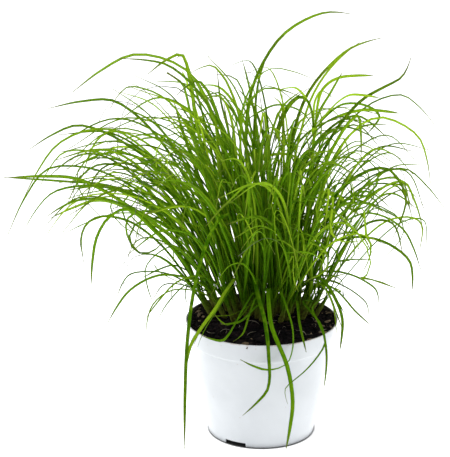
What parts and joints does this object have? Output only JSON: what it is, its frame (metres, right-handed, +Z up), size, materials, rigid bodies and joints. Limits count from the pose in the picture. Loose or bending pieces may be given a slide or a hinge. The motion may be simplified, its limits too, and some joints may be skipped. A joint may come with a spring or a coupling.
{
  "type": "potted umbrella sedge",
  "caption": "Tussock of long narrow arching sedge blades with an umbrella-topped stem, in a round tapered plastic nursery pot filled with dark soil",
  "frame": {"origin": "the middle of the pot's base, on the surface that the pot stands on", "axes": "+Z points up along the pot's axis, -Y points to the front as pictured, +X points to the right seen from the front"},
  "size_m": [0.353, 0.2779, 0.3265],
  "materials": {
    "pot_plastic": "smooth white moulded plastic with a soft sheen",
    "potting_soil": "damp dark peat with fine bark fibres",
    "blade": "fresh green leaf, smooth with fine lengthwise veins",
    "stem": "smooth green three-sided stem",
    "bract": "fresh green leaf-like bract"
  },
  "bodies": {
    "root": {"pot": "pot_plastic", "shoot_01": "blade", "shoot_02": "blade", "shoot_03": "blade", "shoot_04": "blade", "shoot_05": "blade", "shoot_06": "blade", "shoot_07": "blade", "shoot_08": "blade", "shoot_09": "blade", "shoot_10": "blade", "shoot_11": "blade", "shoot_12": "blade", "shoot_13": "blade", "shoot_14": "blade", "shoot_15": "blade", "shoot_16": "blade", "shoot_17": "blade", "shoot_18": "blade", "shoot_19": "blade", "shoot_20": "blade", "shoot_21": "blade", "shoot_22": "blade", "shoot_23": "blade", "shoot_24": "blade", "shoot_25": "blade", "shoot_26": "blade", "shoot_27": "blade", "shoot_28": "blade", "shoot_29": "blade", "shoot_30": "blade", "shoot_31": "blade", "shoot_32": "blade", "shoot_33": "blade", "shoot_34": "blade", "shoot_35": "blade", "shoot_36": "blade", "shoot_37": "blade", "shoot_38": "blade", "shoot_39": "blade", "shoot_40": "blade", "shoot_41": "blade", "shoot_42": "blade", "shoot_43": "blade", "shoot_44": "blade", "shoot_45": "blade", "shoot_46": "blade", "shoot_47": "blade", "soil": "potting_soil", "umbrella_bracts": "bract", "umbrella_stem": "stem"}
  },
  "joints": []
}
